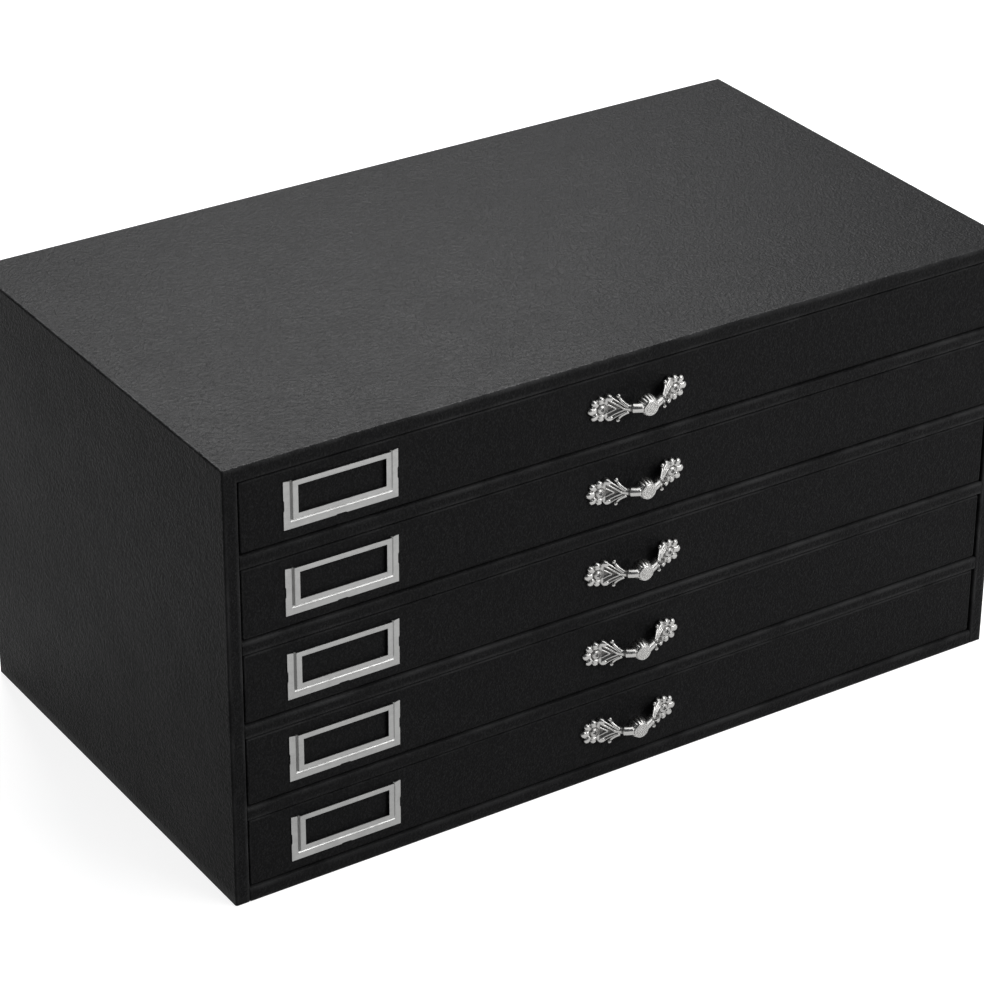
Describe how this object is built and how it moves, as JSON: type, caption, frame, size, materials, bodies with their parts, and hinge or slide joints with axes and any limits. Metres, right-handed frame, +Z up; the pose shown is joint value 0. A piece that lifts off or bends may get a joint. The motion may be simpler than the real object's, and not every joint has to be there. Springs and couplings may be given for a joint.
{
  "type": "jewelry storage case with drawers",
  "caption": "Black leatherette-covered jewelry storage case with a stack of shallow sliding drawers, each with an ornate silver pull and a metal label holder.",
  "frame": {"origin": "centre of the base board's underside, on the surface that the case stands on", "axes": "+X to the right along the width, +Z up, the drawers open towards -Y"},
  "size_m": [0.42, 0.2433, 0.216],
  "materials": {
    "leatherette": "fine embossed grain, satin black",
    "board": "black-stained fibreboard",
    "lining": "black short-pile velvet",
    "pull_metal": "bright antique silver plating with dark recesses",
    "holder_metal": "satin nickel plating",
    "screw_metal": "bright plating"
  },
  "bodies": {
    "case": {"case_top": "board", "case_base": "board", "case_left_side": "board", "case_right_side": "board", "case_back": "board", "case_shelf_1": "board", "case_shelf_2": "board", "case_shelf_3": "board", "case_shelf_4": "board", "case_cover": "leatherette"},
    "drawer_1": {"drawer_1_front": "board", "drawer_1_front_cover": "leatherette", "drawer_1_left_side": "board", "drawer_1_right_side": "board", "drawer_1_back": "board", "drawer_1_bottom": "board", "drawer_1_lining": "lining", "drawer_1_pull": "pull_metal", "drawer_1_pull_screws": "screw_metal", "drawer_1_label_holder": "holder_metal"},
    "drawer_2": {"drawer_2_front": "board", "drawer_2_front_cover": "leatherette", "drawer_2_left_side": "board", "drawer_2_right_side": "board", "drawer_2_back": "board", "drawer_2_bottom": "board", "drawer_2_lining": "lining", "drawer_2_pull": "pull_metal", "drawer_2_pull_screws": "screw_metal", "drawer_2_label_holder": "holder_metal"},
    "drawer_3": {"drawer_3_front": "board", "drawer_3_front_cover": "leatherette", "drawer_3_left_side": "board", "drawer_3_right_side": "board", "drawer_3_back": "board", "drawer_3_bottom": "board", "drawer_3_lining": "lining", "drawer_3_pull": "pull_metal", "drawer_3_pull_screws": "screw_metal", "drawer_3_label_holder": "holder_metal"},
    "drawer_4": {"drawer_4_front": "board", "drawer_4_front_cover": "leatherette", "drawer_4_left_side": "board", "drawer_4_right_side": "board", "drawer_4_back": "board", "drawer_4_bottom": "board", "drawer_4_lining": "lining", "drawer_4_pull": "pull_metal", "drawer_4_pull_screws": "screw_metal", "drawer_4_label_holder": "holder_metal"},
    "drawer_5": {"drawer_5_front": "board", "drawer_5_front_cover": "leatherette", "drawer_5_left_side": "board", "drawer_5_right_side": "board", "drawer_5_back": "board", "drawer_5_bottom": "board", "drawer_5_lining": "lining", "drawer_5_pull": "pull_metal", "drawer_5_pull_screws": "screw_metal", "drawer_5_label_holder": "holder_metal"}
  },
  "joints": [
    {"name": "drawer_1_slide", "type": "slide", "parent": "case", "child": "drawer_1", "axis": [0, -1, 0], "range_m": [0, 0.17]},
    {"name": "drawer_2_slide", "type": "slide", "parent": "case", "child": "drawer_2", "axis": [0, -1, 0], "range_m": [0, 0.17]},
    {"name": "drawer_3_slide", "type": "slide", "parent": "case", "child": "drawer_3", "axis": [0, -1, 0], "range_m": [0, 0.17]},
    {"name": "drawer_4_slide", "type": "slide", "parent": "case", "child": "drawer_4", "axis": [0, -1, 0], "range_m": [0, 0.17]},
    {"name": "drawer_5_slide", "type": "slide", "parent": "case", "child": "drawer_5", "axis": [0, -1, 0], "range_m": [0, 0.17]}
  ]
}
